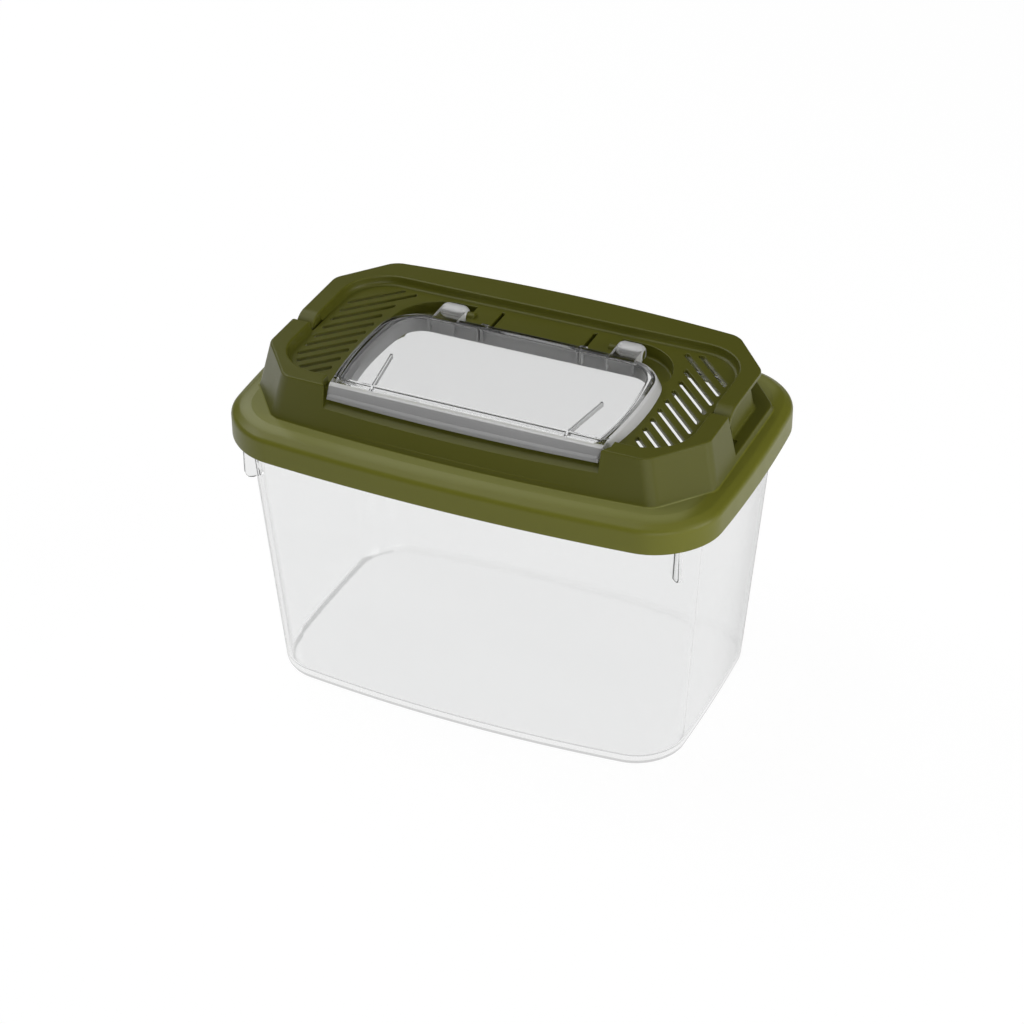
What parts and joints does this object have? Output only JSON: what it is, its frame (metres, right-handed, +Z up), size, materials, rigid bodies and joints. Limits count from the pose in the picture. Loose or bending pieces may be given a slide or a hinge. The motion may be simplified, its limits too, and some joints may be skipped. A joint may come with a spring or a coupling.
{
  "type": "plastic pet keeper",
  "caption": "Small pet tank with tapered clear walls, a ventilated olive lid, a clear hinged feeding door and a fold-down carrying handle.",
  "frame": {"origin": "middle of the tank's flat base, on the surface it stands on", "axes": "+X along the length to the right, +Y from the front with the door's lip to the back, +Z up"},
  "size_m": [0.2, 0.1278, 0.1372],
  "materials": {
    "clear_plastic": "polished clear see-through plastic, water-white",
    "olive_plastic": "semi-gloss opaque moulded plastic, dark olive"
  },
  "bodies": {
    "tank": {"tank": "clear_plastic"},
    "lid": {"lid": "olive_plastic"},
    "feeding_door": {"feeding_door": "clear_plastic"},
    "carry_handle": {"carry_handle": "olive_plastic"}
  },
  "joints": [
    {"name": "lid_lift", "type": "slide", "parent": "tank", "child": "lid", "axis": [0, 0, 1], "range_m": [0, 0.08]},
    {"name": "door_hinge", "type": "hinge", "parent": "lid", "child": "feeding_door", "pos_m": [0, 0.028, 0.133], "axis": [-1, 0, 0], "range_deg": [0, 115]},
    {"name": "handle_swing", "type": "hinge", "parent": "lid", "child": "carry_handle", "pos_m": [0, 0.002, 0.1292], "axis": [1, 0, 0], "range_deg": [0, 92]}
  ]
}
